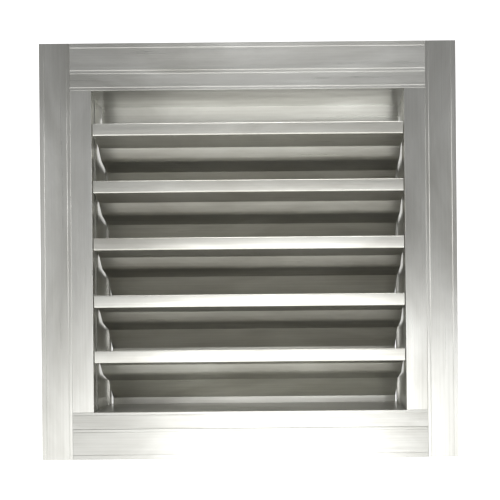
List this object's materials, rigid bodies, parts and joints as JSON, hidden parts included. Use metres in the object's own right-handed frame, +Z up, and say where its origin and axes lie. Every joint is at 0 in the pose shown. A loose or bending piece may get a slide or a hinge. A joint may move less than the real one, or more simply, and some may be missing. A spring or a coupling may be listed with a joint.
{
  "type": "intake louver",
  "caption": "Extruded aluminium intake louver with a wall flange, a channel frame, fixed stepped blades and a water stop",
  "frame": {"origin": "centre of the wall opening, in the plane where the flange's back meets the wall", "axes": "+X across the opening, +Y into the wall, along the air's way in, and +Z up as the picture shows it"},
  "size_m": [0.5206, 0.1016, 0.5206],
  "materials": {
    "rail_metal": "mill finish, brushed along its length",
    "jamb_metal": "mill finish, brushed along its length",
    "flange_metal": "mill finish, sanded at the corners",
    "blade_metal": "mill finish, brushed along its length",
    "screw_steel": "plain stainless steel",
    "rivet_metal": "plain"
  },
  "bodies": {
    "root": {"top_rail": "rail_metal", "bottom_rail": "rail_metal", "left_jamb": "jamb_metal", "right_jamb": "jamb_metal", "flange_top": "flange_metal", "flange_bottom": "flange_metal", "flange_left": "flange_metal", "flange_right": "flange_metal", "blade_1": "blade_metal", "blade_2": "blade_metal", "blade_3": "blade_metal", "blade_4": "blade_metal", "blade_5": "blade_metal", "blade_1_screws": "screw_steel", "blade_2_screws": "screw_steel", "blade_3_screws": "screw_steel", "blade_4_screws": "screw_steel", "blade_5_screws": "screw_steel", "corner_screws_top_left": "screw_steel", "corner_screws_top_right": "screw_steel", "corner_screws_bottom_left": "screw_steel", "corner_screws_bottom_right": "screw_steel", "flange_rivets_top": "rivet_metal", "flange_rivets_bottom": "rivet_metal", "flange_rivets_left": "rivet_metal", "flange_rivets_right": "rivet_metal"}
  },
  "joints": []
}
